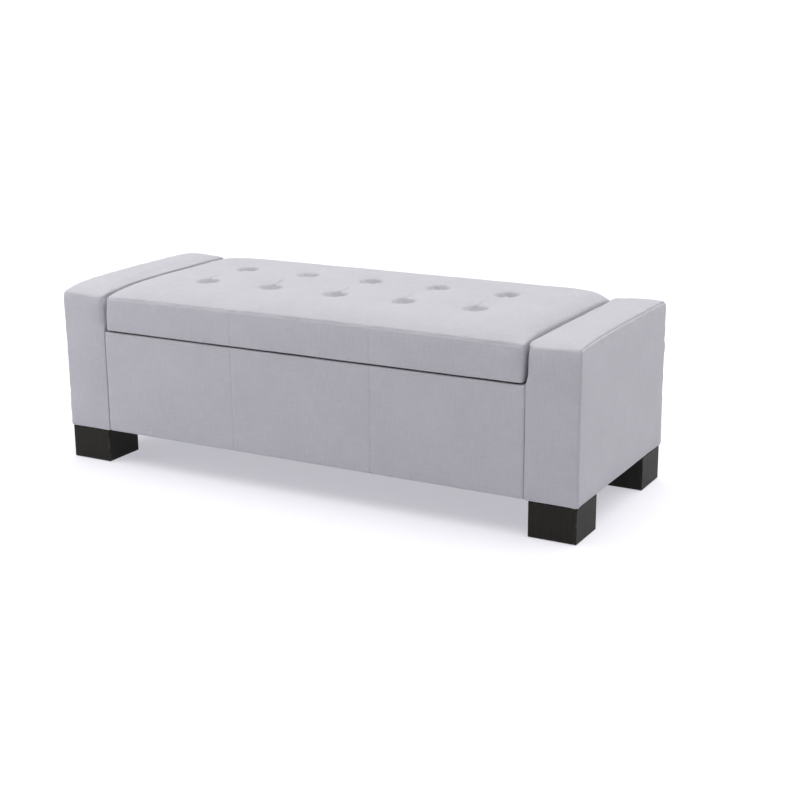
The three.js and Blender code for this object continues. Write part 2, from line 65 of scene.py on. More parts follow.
LID_SEAM_HEIGHT = 75 * MM  # seam round the top of the lid's band, above the lid's bottom
LID_SEAM_BOW = 4 * MM  # the seam's middle stands this much above its ends
LID_SEAM_WAVE = 1.2 * MM
LID_FRONT_RISE = 42 * MM  # distance over which the pillow rises behind its front seam
LID_REAR_RISE = 22 * MM
LID_END_RISE = (32 * MM, 16 * MM)  # at the left and at the right end
LID_END_LOW = (0.64, 0.75)  # share of the pillow's height that is missing at its left and right end
LID_TAPER = (4.5 * MM, 1 * MM)  # the band leans in by this much at the lid's left and right end
LID_CORNER_ROUND = 9 * MM
LID_BOTTOM_ROUND = 1.6 * MM
LID_SEAM_ROUND = 8 * MM
LID_END_ROUND = 3.5 * MM
LID_SKIRT = 0.9 * MM  # cloth hanging below the lid's own edge, in front

ARM_SEAM_DROP = 16.5 * MM  # crest of the arm down to its front seam
# Height gained behind the front seam, at the arm's inner and at its outer side
ARM_RISE = {"left": (18.5 * MM, 16 * MM), "right": (7 * MM, 9 * MM)}
ARM_CROWN = 4 * MM  # extra height in the middle of the arm's width
ARM_FRONT_RISE = 75 * MM
ARM_REAR_RISE = 14 * MM
ARM_TOP_OUTER = 4 * MM  # rounding along the arm's outer top seam
ARM_TOP_INNER = 2.5 * MM
ARM_FRONT_OUTER = 11 * MM  # rounding of the arm's front top edge at its outer side
ARM_FRONT_INNER = 24 * MM
ARM_UPRIGHT_OUTER = 5 * MM
ARM_UPRIGHT_INNER = 15 * MM
ARM_BOTTOM_ROUND = 6 * MM
BOX_RIM_ROUND = 1.2 * MM
JOINT_ROUND = 1.2 * MM  # where the arm and the box's cloth meet

TUFT_DEPTH = 24 * MM
TUFT_REACH = 50 * MM  # wide hollow around a button
TUFT_FLOOR = 8 * MM  # flat cloth under the button
TUFT_WALL = 20 * MM  # steep wall around it
TUFT_GATHERS = 7  # folds of the cloth drawn in round each button
TUFT_GATHER_DEPTH = 0.6 * MM
PLEAT_DEPTH = 5.2 * MM
PLEAT_START = 24 * MM
PLEAT_REACH = 82 * MM
PLEAT_WIDTH = 2.8 * MM
RIDGE_OFFSET = 6 * MM  # raised cloth beside a pleat
RIDGE_WIDTH = 4.5 * MM
UNDERSIDE_LIFT = 3 * MM  # covers are open underneath, where thinner cloth closes them

PANEL_SEAMS = 1055 / 6 * MM  # upright seams stand this far left and right of the middle

STITCH = 4.2 * MM
STITCH_GAP = 1.6 * MM
THREAD = 0.34 * MM
SEAM_END = 12 * MM  # stitches stop this far from a seam's ends

STAPLE_INSET = 7 * MM
STAPLE_MARGIN = 30 * MM  # from a lining's corner to its first staple
STAPLE_PITCH = 52 * MM
STAPLE_HALF = 5 * MM

HANDS = (("left", -1), ("right", 1))
TURNED_SIDES = 40
SHARP_ANGLE = math.radians(35)
HINGE_SCREWS = 13

# ---- Numbers and noise ----


def wander(points, scale, seed):
    """Smooth noise from -1 to 1 at each point, with features about `scale` metres across."""
    shift = Vector((seed * 7.31, seed * 3.17, seed * 5.93))
    return np.array([noise.noise(Vector(p) / scale + shift) for p in points])


def smooth(x):
    x = np.clip(x, 0, 1)
    return x * x * (3 - 2 * x)


def lines(low, high, step, refined=(), near=0.0, fine=None, seams=()):
    """Mesh line positions from low to high: `step` apart, `fine` apart within `near` of the refined places,
    and crowded at each seam."""
    marks = [low]
    while marks[-1] < high - 1e-9:
        here = marks[-1]
        close = fine and any(abs(here + step / 2 - r) < near + step / 2 for r in refined)
        marks.append(here + (fine if close else step))
    marks = np.array(marks)
    marks = low + (marks - low) * (high - low) / (marks[-1] - low)
    for seam in seams:
        crowd = [seam + sign * s for s in SEAM_STEPS for sign in (-1, 1)] + [seam]
        marks = marks[np.abs(marks - seam) > SEAM_STEPS[-1] + step * 0.3]
        marks = np.concatenate([marks, [c for c in crowd if low < c < high]])
    return np.unique(np.concatenate([[low, high], marks]).round(7))


def corners(node):
    return [np.array(corner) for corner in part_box(node)]


# ---- Mesh building ----

SIDES = ("x0", "x1", "y0", "y1", "z0", "z1")


def add_object(name, data):
    made = bpy.data.objects.new(name, data)
    bpy.context.scene.collection.objects.link(made)
    return made


def new_piece(name, verts, faces, uvs=None):
    mesh = bpy.data.meshes.new(name)
    mesh.from_pydata([tuple(v) for v in verts], [], faces)
    if uvs is not None:
        layer = mesh.uv_layers.new(name="cloth")
        layer.data.foreach_set("uv", np.asarray(uvs, np.float32).ravel())
    mesh.validate()
    mesh.update()
    mesh.polygons.foreach_set("use_smooth", [True] * len(mesh.polygons))
    return add_object(name, mesh)


def block_grid(xs, ys, zs, skip=()):
    """The skin of a box as a grid through the given lines, without the sides that `skip` names.
    Gives the points, the quads and each corner's cloth position, in metres on the box's own faces."""
    index, points, faces, uvs = {}, [], [], []
    axes = (xs, ys, zs)

    def point(key):
        if key not in index:
            index[key] = len(points)
            points.append([axes[a][key[a]] for a in range(3)])
        return index[key]

    for side in SIDES:
        if side in skip:
            continue
        axis, high = "xyz".index(side[0]), side[1] == "1"
        u, v = [a for a in range(3) if a != axis]
        fixed = len(axes[axis]) - 1 if high else 0
        flip = high == (axis == 1)
        for i in range(len(axes[u]) - 1):
            for j in range(len(axes[v]) - 1):
                quad = [(i, j), (i + 1, j), (i + 1, j + 1), (i, j + 1)]
                if flip:
                    quad.reverse()
                keys = []
                for a, b in quad:
                    key = [0, 0, 0]
                    key[axis], key[u], key[v] = fixed, a, b
                    keys.append(tuple(key))
                faces.append([point(k) for k in keys])
                uvs += [(axes[u][k[u]], axes[v][k[v]]) for k in keys]
    return np.array(points), faces, np.array(uvs)


def round_edge(points, low, high, first, second, radius):
    """Rounds the box edge between two sides. Points inside the box near the edge move with it."""
    gaps = []
    for side in (first, second):
        axis = "xyz".index(side[0])
        bound = high[axis] if side[1] == "1" else low[axis]
        gaps.append((axis, bound, -1 if side[1] == "1" else 1))
    (ax_a, at_a, sign_a), (ax_b, at_b, sign_b) = gaps
    a = (points[:, ax_a] - at_a) * sign_a
    b = (points[:, ax_b] - at_b) * sign_b
    inner = np.minimum(a, b)
    left = np.maximum(radius - inner, 1e-9)
    turn = np.clip(1 - (np.maximum(a, b) - inner) / left, 0, 1) * (math.pi / 4) * (inner < radius)
    near = inner + left * (1 - np.cos(turn))
    far = np.where(turn > 0, inner + left * (1 - np.sin(turn)), np.maximum(a, b))
    points[:, ax_a] = at_a + sign_a * np.where(a <= b, near, far)
    points[:, ax_b] = at_b + sign_b * np.where(a <= b, far, near)


def points_of(piece, kind="co"):
    found = np.empty(len(piece.data.vertices) * 3)
    piece.data.vertices.foreach_get(kind, found)
    return found.reshape(-1, 3)


def set_points(piece, points):
    piece.data.vertices.foreach_set("co", np.asarray(points, np.float32).ravel())
    piece.data.update()


def push_out(piece, push):
    """Moves each point along its normal."""
    set_points(piece, points_of(piece) + points_of(piece, "normal") * push[:, None])


def angles(count):
    return [2 * math.pi * k / count for k in range(count)]


def ring_quads(first, rings, around, inwards=False):
    """Quads between rings of points that follow each other from the point `first`."""
    quads = []
    for ring in range(rings - 1):
        for k in range(around):
            a, b = first + ring * around + k, first + ring * around + (k + 1) % around
            quads.append([a, a + around, b + around, b] if inwards else [a, b, b + around, a + around])
    return quads


def add_subdivision(piece):
    modifier = piece.modifiers.new("fine", "SUBSURF")
    modifier.levels = modifier.render_levels = 1


def fill_out(piece, held, cap):
    """Blows the cloth out a little with a cloth simulation. `held` is each point's hold from 0 to 1,
    and no point moves further than `cap`."""
    scene = bpy.context.scene
    before = points_of(piece)
    group = piece.vertex_groups.new(name="held")
    for i in np.nonzero(held > 0.01)[0]:
        group.add([int(i)], float(held[i]), "REPLACE")
    modifier = piece.modifiers.new("cloth", "CLOTH")
    cloth = modifier.settings
    cloth.quality = 4
    cloth.mass = 0.3
    cloth.tension_stiffness = cloth.compression_stiffness = 18
    cloth.shear_stiffness = 6
    cloth.bending_stiffness = 0.6
    cloth.use_pressure = True
    cloth.uniform_pressure_force = CLOTH_PRESSURE
    cloth.effector_weights.gravity = 0
    cloth.vertex_group_mass = group.name
    cloth.pin_stiffness = 1
    modifier.point_cache.frame_start = 1
    modifier.point_cache.frame_end = CLOTH_FRAMES
    for step in range(1, CLOTH_FRAMES + 1):
        scene.frame_set(step)
    move = points_of(piece.evaluated_get(bpy.context.evaluated_depsgraph_get())) - before
    piece.modifiers.remove(modifier)
    scene.frame_set(1)
    length = np.linalg.norm(move, axis=1, keepdims=True)
    move *= cap * np.tanh(length / cap) / np.maximum(length, 1e-9)
    set_points(piece, before + move)


# ---- Fabric shapes ----


def seam_groove(piece, gap, along, depth, pucker, seed):
    """Draws the cloth in along a seam, by each point's distance from it and its place along it."""
    groove = -depth * np.exp(-((gap / (1.6 * MM)) ** 2))
    swell = 0.25 * depth * np.exp(-(((np.abs(gap) - 6 * MM) / (4 * MM)) ** 2))
    samples = np.stack([along, np.sign(gap), np.full_like(along, seed)], axis=1)
    ripple = wander(samples * [1, 0.004, 0.01], 13 * MM, seed) * np.exp(-((gap / (16 * MM)) ** 2))
    push_out(piece, groove + swell + pucker * ripple)


def panel_seams(piece, box, where, pucker, seed):
    """Draws the cloth in along both upright seams, on the points that `where` picks out."""
    for i, x in enumerate((-PANEL_SEAMS, PANEL_SEAMS)):
        seam_groove(piece, np.where(where, box[:, 0] - x, 1), box[:, 2], 0.9 * MM, pucker, seed + i)


def unevenness(piece, size, scale, seed, where=None):
    """Slight hollows and swells, as foam under cloth has."""
    push = size * wander(points_of(piece), scale, seed)
    if where is not None:
        push *= where
    push_out(piece, push)


def button_places():
    found = {}
    for name in frame["nodes"]:
        if name.startswith("button_"):
            low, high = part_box(name)
            found[name] = Vector(((low.x + high.x) / 2, (low.y + high.y) / 2, high.z))
    return found


def tufted(points, centres):
    """How far each point of the lid's top is drawn down by the buttons and the pleats that run from them.
    The deepest pleat of each button runs towards the other row."""
    drop = np.zeros(len(points))
    middle_y = sum(c.y for c in centres) / len(centres)
    rng = np.random.default_rng(5)
    for centre in centres:
        away = points[:, :2] - np.array(centre[:2])
        reach = np.linalg.norm(away, axis=1)
        wall = 1 - np.clip((reach - TUFT_FLOOR) / TUFT_WALL, 0, 1) ** 2
        drop += TUFT_DEPTH * (0.7 * wall + 0.3 * np.exp(-((reach / TUFT_REACH) ** 2)))
        bearing = np.arctan2(away[:, 1], away[:, 0])
        gathers = np.sin(TUFT_GATHERS * bearing + rng.uniform(0, 6) + np.sin(2 * bearing))
        rim = TUFT_FLOOR + 0.8 * TUFT_WALL
        drop += TUFT_GATHER_DEPTH * gathers * np.exp(-(((reach - rim) / (0.45 * TUFT_WALL)) ** 2))
        inwards = 90 if centre.y < middle_y else -90
        pleats = [(inwards + rng.uniform(-4, 16), 1.0)]
        pleats += [(45 + 90 * quarter + rng.uniform(-14, 14), rng.uniform(0.1, 0.4)) for quarter in range(4)]
        for degrees, weight in pleats:
            angle = math.radians(degrees)
            run = away[:, 0] * math.cos(angle) + away[:, 1] * math.sin(angle)
            across = -away[:, 0] * math.sin(angle) + away[:, 1] * math.cos(angle)
            length = PLEAT_REACH * rng.uniform(0.75, 1.1) * (0.55 + 0.45 * weight)
            along = smooth((run - PLEAT_START) / (12 * MM)) * smooth((length - run) / (0.6 * length))
            crease = np.exp(-((across / PLEAT_WIDTH) ** 2))
            ridge = np.exp(-(((across - RIDGE_OFFSET) / RIDGE_WIDTH) ** 2))
            drop += PLEAT_DEPTH * weight * along * (crease - 0.5 * ridge)
    return drop


def lid_top(points, low, high, seam):
    """Height of the pillow's crown at each point, before the buttons."""
    behind_front = np.maximum(points[:, 1] - low[1], 0)
    before_rear = np.maximum(high[1] - points[:, 1], 0)
    from_end = np.maximum(high[0] - np.abs(points[:, 0]), 0)
    rise = (1 - np.exp(-behind_front / LID_FRONT_RISE)) * (1 - np.exp(-before_rear / LID_REAR_RISE))
    bow = LID_SEAM_BOW * (1 - (points[:, 0] / high[0]) ** 2)
    wave = LID_SEAM_WAVE * wander(points * [1, 0, 0], 70 * MM, 9)
    edge = seam + (bow + wave)
    low_share = np.where(points[:, 0] < 0, *LID_END_LOW)
    end_rise = np.where(points[:, 0] < 0, *LID_END_RISE)
    return edge + (high[2] - edge) * rise * (1 - low_share * np.exp(-from_end / end_rise))


def lid_cover():
    """The lid's cloth over its foam: a band round the edge and a crowned top, drawn down at ten buttons."""
    low, high = corners("lid_cover")
    centres = list(button_places().values())
    columns = sorted({round(c.x, 4) for c in centres})
    rows = sorted({round(c.y, 4) for c in centres})
    seam = low[2] + LID_SEAM_HEIGHT
    seams = (low[0], high[0], -PANEL_SEAMS, PANEL_SEAMS)
    xs = lines(low[0], high[0], CELL, columns, FINE_ALONG, FINE_CELL, seams)
    ys = lines(low[1], high[1], CELL, rows, FINE_ACROSS, FINE_CELL, (low[1], high[1]))
    zs = lines(low[2], seam, CELL, seams=(seam,))
    points, faces, uvs = block_grid(xs, ys, zs)
    box = points.copy()
    top = np.array([high[0], high[1], seam])

    for x_side in ("x0", "x1"):
        round_edge(points, low, top, x_side, "z1", LID_END_ROUND)
        round_edge(points, low, top, x_side, "z0", LID_BOTTOM_ROUND)
        for y_side in ("y0", "y1"):
            round_edge(points, low, top, x_side, y_side, LID_CORNER_ROUND)
    for y_side in ("y0", "y1"):
        round_edge(points, low, top, y_side, "z0", LID_BOTTOM_ROUND)
        round_edge(points, low, top, y_side, "z1", LID_SEAM_ROUND)

    height = (points[:, 2] - low[2]) / (seam - low[2])
    points[:, 2] = low[2] + height * (lid_top(points, low, high, seam) - low[2])
    from_end = high[0] - np.abs(points[:, 0])
    taper = np.where(points[:, 0] < 0, *LID_TAPER) * smooth((height - 0.3) / 0.7)
    points[:, 0] -= np.sign(points[:, 0]) * (taper * np.exp(-from_end / (30 * MM)))
    on_top = box[:, 2] > seam - 1e-6
    points[:, 2] -= tufted(points, centres) * on_top
    points[:, 2] -= LID_SKIRT * smooth((-box[:, 1] - 0.1) / 0.1) * (1 - smooth(height * 4))

    piece = new_piece("lid_upholstery", points, faces, uvs)
    held = np.zeros(len(points))
    for centre in centres:
        held = np.maximum(held, np.linalg.norm(box[:, :2] - np.array(centre[:2]), axis=1) < 10 * MM)
    held *= on_top
    held = np.maximum(held, box[:, 2] < low[2] + 4 * MM)
    edge = np.minimum(np.minimum(box[:, 1] - low[1], high[1] - box[:, 1]), high[0] - np.abs(box[:, 0]))
    to_seam = np.where(on_top, edge, seam - box[:, 2])
    held = np.maximum(held, 0.6 * np.exp(-((to_seam / (4 * MM)) ** 2)))
    fill_out(piece, held, cap=6 * MM)

    front_gap = np.where(on_top, box[:, 1] - low[1], np.where(box[:, 1] < low[1] + 1e-6, box[:, 2] - seam, 1))
    seam_groove(piece, front_gap, box[:, 0], 0.9 * MM, 1.6 * MM, seed=2)
    band = ~on_top & (box[:, 2] > low[2] + 1e-6)
    panel_seams(piece, box, band, 1.3 * MM, seed=3)
    unevenness(piece, 0.9 * MM, 90 * MM, 11)
    unevenness(piece, 0.35 * MM, 28 * MM, 12)
    shape = points_of(piece)
    shape[:, 0] = np.clip(shape[:, 0], low[0], high[0])
    shape[:, 2] = np.maximum(shape[:, 2], low[2] - LID_SKIRT)
    set_points(piece, shape)
    lift_underside(piece, box, low, high)
    add_subdivision(piece)
    finish_cloth(piece, "lid", 0.8, "lid_cover", "lid_foam")
    add_stitches("lid_seam_stitches", piece, seam_loop(low, high, seam), "lid")


def seam_loop(low, high, seam):
    """Points along the front of the lid's top seam, a few millimetres above it."""
    inset = 4.5 * MM
    xs = np.linspace(low[0] + SEAM_END, high[0] - SEAM_END, 400)
    return [Vector((x, low[1] + inset, seam + inset)) for x in xs]


def lift_underside(piece, box, low, high, open_sides=()):
    """Raises a cover's bottom face behind its hem. `open_sides` are sides where the face has no hem."""
    hem = np.full(len(box), 1.0)
    for axis in range(2):
        for bound, side in ((low[axis], "xyz"[axis] + "0"), (high[axis], "xyz"[axis] + "1")):
            if side not in open_sides:
                hem = np.minimum(hem, np.abs(box[:, axis] - bound) / (7 * MM))
    under = (box[:, 2] < low[2] + 1e-6) * smooth(hem)
    points = points_of(piece)
    points[:, 2] += UNDERSIDE_LIFT * under
    set_points(piece, points)


def finish_cloth(piece, body, fill, *nodes):
    """What all padded cloth shares: linen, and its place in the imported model."""
    piece.data.materials.append(linen())
    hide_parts(*nodes)
    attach(piece, body)


def threads(name, runs, radius, look, body):
    """Short round bars, one for each (start, end), as stitches and staples are."""
    sides, caps = 6, ((0.0, 0.35), (0.12, 0.85), (0.5, 1.0), (0.88, 0.85), (1.0, 0.35))
    verts, faces = [], []
    for start, end in runs:
        along = end - start
        across = along.orthogonal().normalized()
        other = along.cross(across).normalized()
        first = len(verts)
        for t, share in caps:
            for turn in angles(sides):
                spoke = across * math.cos(turn) + other * math.sin(turn)
                verts.append(start + along * t + spoke * radius * share)
        faces += ring_quads(first, len(caps), sides)
        faces.append([first + k for k in reversed(range(sides))])
        faces.append([first + (len(caps) - 1) * sides + k for k in range(sides)])
    piece = new_piece(name, verts, faces)
    piece.data.materials.append(look)
    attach(piece, body)


def add_stitches(name, cloth, path, body):
    """Stitches laid on the cloth along a path near its surface."""
    evaluated = BVHTree.FromObject(cloth, bpy.context.evaluated_depsgraph_get())
    laid = []
    for point in path:
        place, normal, _, _ = evaluated.find_nearest(point)
        laid.append(place + normal * THREAD * 0.5)
    runs, travelled, start = [], 0.0, laid[0]
    for before, here in zip(laid, laid[1:]):
        travelled += (here - before).length
        if start is None and travelled >= STITCH_GAP:
            start, travelled = here, 0.0
        elif start is not None and travelled >= STITCH:
            runs.append((start, here))
            start, travelled = None, 0.0
    threads(name, runs, THREAD, thread(), body)


def arm_cover_shape(low, high, rim):
    """The right arm's cloth: its points and faces, and where each point was on the plain box."""
    seam = high[2] - ARM_SEAM_DROP
    top = np.array([high[0], high[1], seam])
    xs = lines(low[0], high[0], CELL, seams=(high[0],))
    ys = lines(low[1], high[1], CELL, seams=(low[1], high[1]))
    zs = lines(low[2], seam, CELL, seams=(rim - 2 * MM, seam))
    points, faces, uvs = block_grid(xs, ys, zs)
    box = points.copy()
    outward = (points[:, 0] - low[0]) / (high[0] - low[0])
    above_rim = smooth((box[:, 2] - rim) / (20 * MM))
    round_edge(points, low, top, "x1", "z1", ARM_TOP_OUTER)
    round_edge(points, low, top, "x0", "z1", ARM_TOP_INNER)
    round_edge(points, low, top, "x1", "z0", ARM_BOTTOM_ROUND)
    inner_upright = JOINT_ROUND + (ARM_UPRIGHT_INNER - JOINT_ROUND) * above_rim
    front_round = ARM_FRONT_INNER + (ARM_FRONT_OUTER - ARM_FRONT_INNER) * smooth(outward)
    for y_side in ("y0", "y1"):
        round_edge(points, low, top, "x1", y_side, ARM_UPRIGHT_OUTER)
        round_edge(points, low, top, "x0", y_side, inner_upright)
        round_edge(points, low, top, y_side, "z0", ARM_BOTTOM_ROUND)
        round_edge(points, low, top, y_side, "z1", front_round)
    return points, faces, uvs, box, top


def crown_arm(piece, low, high, seam, inner_rise, outer_rise):
    """Lifts an arm's top into its crown. `low` and `high` are the right arm's, for either arm."""
    points = points_of(piece)
    outward = np.clip((np.abs(points[:, 0]) - low[0]) / (high[0] - low[0]), 0, 1)
    behind_front = np.maximum(points[:, 1] - low[1], 0)
    before_rear = np.maximum(high[1] - points[:, 1], 0)
    along = (1 - np.exp(-behind_front / ARM_FRONT_RISE)) * (1 - 0.4 * np.exp(-before_rear / ARM_REAR_RISE))
    across = 1 - np.abs(2 * outward - 1) ** 2.4
    crown = along * (inner_rise + (outer_rise - inner_rise) * outward + ARM_CROWN * across)
    height = (points[:, 2] - low[2]) / (seam - low[2])
    points[:, 2] += np.clip(height, 0, 1) ** 3 * crown
    set_points(piece, points)


def arm_covers():
    """Both arms' cloth. The left one is the right one mirrored, with hollows of its own.
    The inner wall is set back below the rim, where the box's lining starts."""
    low, high = corners("right_arm_cover")
    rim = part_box("front_cover")[1].z
    points, faces, uvs, box, top = arm_cover_shape(low, high, rim)
    piece = new_piece("right_arm_upholstery", points, faces, uvs)
    inner = box[:, 0] < low[0] + 1e-6
    from_outer = high[0] - box[:, 0]
    from_top = top[2] - box[:, 2]
    from_end = np.minimum(box[:, 1] - low[1], high[1] - box[:, 1])
    outer_seam = np.minimum(np.hypot(from_outer, from_top), np.hypot(from_outer, from_end))
    end_seam = np.hypot(from_end, from_top)
    held = np.maximum((box[:, 2] < low[2] + 4 * MM) * 1.0, (inner & (box[:, 2] < rim)) * 1.0)
    held = np.maximum(held, 0.6 * np.exp(-((np.minimum(outer_seam, end_seam) / (4 * MM)) ** 2)))
    fill_out(piece, held, cap=3.5 * MM)
    seam_groove(piece, outer_seam, box[:, 1] + box[:, 2], 2.6 * MM, 2.2 * MM, seed=21)
    seam_groove(piece, end_seam, box[:, 0], 0.4 * MM, 0.8 * MM, seed=22)

    shape = points_of(piece)
    box_front, box_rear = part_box("front_panel")[0].y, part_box("back_panel")[1].y
    set_back = inner & (box[:, 2] < rim - 2.5 * MM) & (box[:, 1] > box_front) & (box[:, 1] < box_rear)
    shape[set_back, 0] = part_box("right_end_panel")[0].x - 0.1 * MM
    shape[inner, 0] = np.maximum(shape[inner, 0], low[0])
    shape[:, 2] = np.maximum(shape[:, 2], low[2])
    set_points(piece, shape)
    flipped = [list(reversed(face)) for face in faces]
    other = new_piece("left_arm_upholstery", shape * [-1, 1, 1], flipped, mirrored_uvs(uvs))

    for seed, (arm, side, sign) in enumerate(((piece, "right", 1), (other, "left", -1))):
        crown_arm(arm, low, high, top[2], *ARM_RISE[side])
        side_box = corners(f"{side}_arm_cover")
        unevenness(arm, 0.7 * MM, 80 * MM, 31 + seed, where=1.0 - set_back)
        unevenness(arm, 0.3 * MM, 25 * MM, 41 + seed, where=1.0 - set_back)
        lift_underside(arm, box * [sign, 1, 1], *side_box, open_sides=("x0" if sign > 0 else "x1",))
        add_subdivision(arm)
        finish_cloth(arm, "base", 0.85, f"{side}_arm_cover", f"{side}_arm_foam")
        edge = sign * (high[0] - 5 * MM)
        stops = np.linspace(low[1] + SEAM_END, high[1] - SEAM_END, 240)
        path = [Vector((edge, y, top[2] + 14 * MM)) for y in stops]
        add_stitches(f"{side}_arm_stitches", arm, path, "base")


def mirrored_uvs(uvs):
    """Cloth positions for faces whose corners run the other way round."""
    quads = uvs.reshape(-1, 4, 2)[:, ::-1]
    return (quads * [-1, 1]).reshape(-1, 2)


def box_cover(node, name, front):
    """The cloth on the front or the back of the box, over the rim and down its inside."""
    low, high = corners(node)
    xs = lines(low[0], high[0], CELL, seams=(-PANEL_SEAMS, PANEL_SEAMS))
    ys = lines(low[1], high[1], CELL)
    zs = lines(low[2], high[2], CELL)
    points, faces, uvs = block_grid(xs, ys, zs)
    box = points.copy()
    outer = "y0" if front else "y1"
    round_edge(points, low, high, outer, "z1", BOX_RIM_ROUND)
    round_edge(points, low, high, outer, "z0", ARM_BOTTOM_ROUND)
    for x_side in ("x0", "x1"):
        round_edge(points, low, high, outer, x_side, JOINT_ROUND)
    piece = new_piece(name, points, faces, uvs)
    face = (box[:, 1] < low[1] + 1e-6) if front else (box[:, 1] > high[1] - 1e-6)
    panel_seams(piece, box, face, 1.2 * MM, seed=51)
    unevenness(piece, 0.8 * MM, 110 * MM, 53 + front, where=face * 1.0)
    unevenness(piece, 0.3 * MM, 26 * MM, 55 + front, where=face * 1.0)
    lift_underside(piece, box, low, high, open_sides=("x0", "x1", "y1" if front else "y0"))
    add_subdivision(piece)
    finish_cloth(piece, "base", 0.9, node)


def cloth_sheet(name, xs, ys, height, hollow, seed):
    """A flat sheet of thin cloth, slightly uneven."""
    verts = np.array([(x, y, height) for x in xs for y in ys])
    verts[:, 2] += hollow * wander(verts, 120 * MM, seed)
    rows = len(ys)
    faces = [
        [i * rows + j, (i + 1) * rows + j, (i + 1) * rows + j + 1, i * rows + j + 1]
        for i in range(len(xs) - 1)
        for j in range(rows - 1)
    ]
    piece = new_piece(name, verts, faces)
    piece.data.materials.append(black_cloth())
    return piece


def storage_lining():
    """The thin cloth that lines the box: one sheet cut as a cross, its walls folded up."""
    low, high = corners("storage_lining")
    inset = 0.6 * MM
    low, high = low + inset, high - [inset, inset, 0]
    lining_lines = [lines(low[a], high[a], 12 * MM) for a in range(3)]
    points, faces, _ = block_grid(*lining_lines, skip=("z1",))
    for x_side in ("x0", "x1"):
        round_edge(points, low, high, x_side, "z0", 8 * MM)
        for y_side in ("y0", "y1"):
            round_edge(points, low, high, x_side, y_side, 6 * MM)
    for y_side in ("y0", "y1"):
        round_edge(points, low, high, y_side, "z0", 8 * MM)
    middle = (low + high) / 2
    wave = 1.1 * MM * (1 + wander(points, 70 * MM, 61))
    for axis in range(2):
        near = np.abs(np.abs(points[:, axis] - middle[axis]) - (high[axis] - middle[axis])) < 1 * MM
        points[near, axis] -= np.sign(points[near, axis] - middle[axis]) * wave[near] * 0.5
    on_floor = points[:, 2] < low[2] + 1 * MM
    points[on_floor, 2] += wave[on_floor] * 0.5
    piece = new_piece("storage_lining_cloth", points, faces)
    add_subdivision(piece)
    piece.data.materials.append(black_cloth())
    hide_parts("storage_lining")
    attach(piece, "base")


def covers(box, point):
    """Whether a box lies over or under a point."""
    low, high = box
    return low.x - 6 * MM < point.x < high.x + 6 * MM and low.y < point.y < high.y


def staple_runs(low, high):
    """The two ends of every staple round a lining's edge, just under it."""
    runs = []
    z = low.z - 0.1 * MM
    for x in np.arange(low.x + STAPLE_MARGIN, high.x - STAPLE_MARGIN, STAPLE_PITCH):
        for y in (low.y + STAPLE_INSET, high.y - STAPLE_INSET):
            runs.append((Vector((x - STAPLE_HALF, y, z)), Vector((x + STAPLE_HALF, y, z))))
    for y in np.arange(low.y + STAPLE_MARGIN, high.y - STAPLE_MARGIN, STAPLE_PITCH):
        for x in (low.x + STAPLE_INSET, high.x - STAPLE_INSET):
            runs.append((Vector((x, y - STAPLE_HALF, z)), Vector((x, y + STAPLE_HALF, z))))
    return runs


def flat_linings():
    """The black cloth under the lid and the dust cover under the bench, each held by staples."""
    legs = [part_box(name) for name in frame["nodes"] if name.startswith("leg_") and "bolt" not in name]
    for node, body, rests, hidden_by in (
        ("lid_lining", "lid", ["lid_deck"], []),
        ("dust_cover", "base", ["front_panel"], legs),
    ):
        low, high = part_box(node)
        xs, ys = lines(low.x, high.x, 16 * MM), lines(low.y, high.y, 16 * MM)
        piece = cloth_sheet(node + "_cloth", xs, ys, low.z + 0.3 * MM, 0.25 * MM, 71)
        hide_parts(node)
        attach(piece, body)
        runs = [
            run for run in staple_runs(low, high) if not any(covers(box, run[0]) for box in hidden_by)
        ]
        threads(node + "_staples", runs, 0.3 * MM, zinc(), body)


# ---- Hard pieces ----


def turned(name, profile, at, look, along=(0, 0, 1)):
    """A profile of (radius, height) points turned about an axis through `at`."""
    frame_of = Vector(along).to_track_quat("Z", "Y").to_matrix()
    verts = []
    for radius, height in profile:
        for angle in angles(TURNED_SIDES):
            spoke = Vector((radius * math.cos(angle), radius * math.sin(angle), height))
            verts.append(Vector(at) + frame_of @ spoke)
    piece = new_piece(name, verts, ring_quads(0, len(profile), TURNED_SIDES))
    weld(piece)
    piece.data.set_sharp_from_angle(angle=SHARP_ANGLE)
    piece.data.materials.append(look)
    return piece


def weld(piece):
    """Joins points that lie together, as at the tips of a turned profile."""
    made = bmesh.new()
    made.from_mesh(piece.data)
    bmesh.ops.remove_doubles(made, verts=made.verts, dist=1e-6)
    bmesh.ops.dissolve_degenerate(made, edges=made.edges, dist=1e-7)
    made.to_mesh(piece.data)
    made.free()
    piece.data.polygons.foreach_set("use_smooth", [True] * len(piece.data.polygons))


def joined(name, pieces):
    """One piece made of several, keeping the first one's material."""
    made = bmesh.new()
    for piece in pieces:
        made.from_mesh(piece.data)
    mesh = bpy.data.meshes.new(name)
    made.to_mesh(mesh)
    made.free()
    mesh.materials.append(pieces[0].data.materials[0])
    for piece in pieces:
        bpy.data.objects.remove(piece)
    mesh.set_sharp_from_angle(angle=SHARP_ANGLE)
    return add_object(name, mesh)


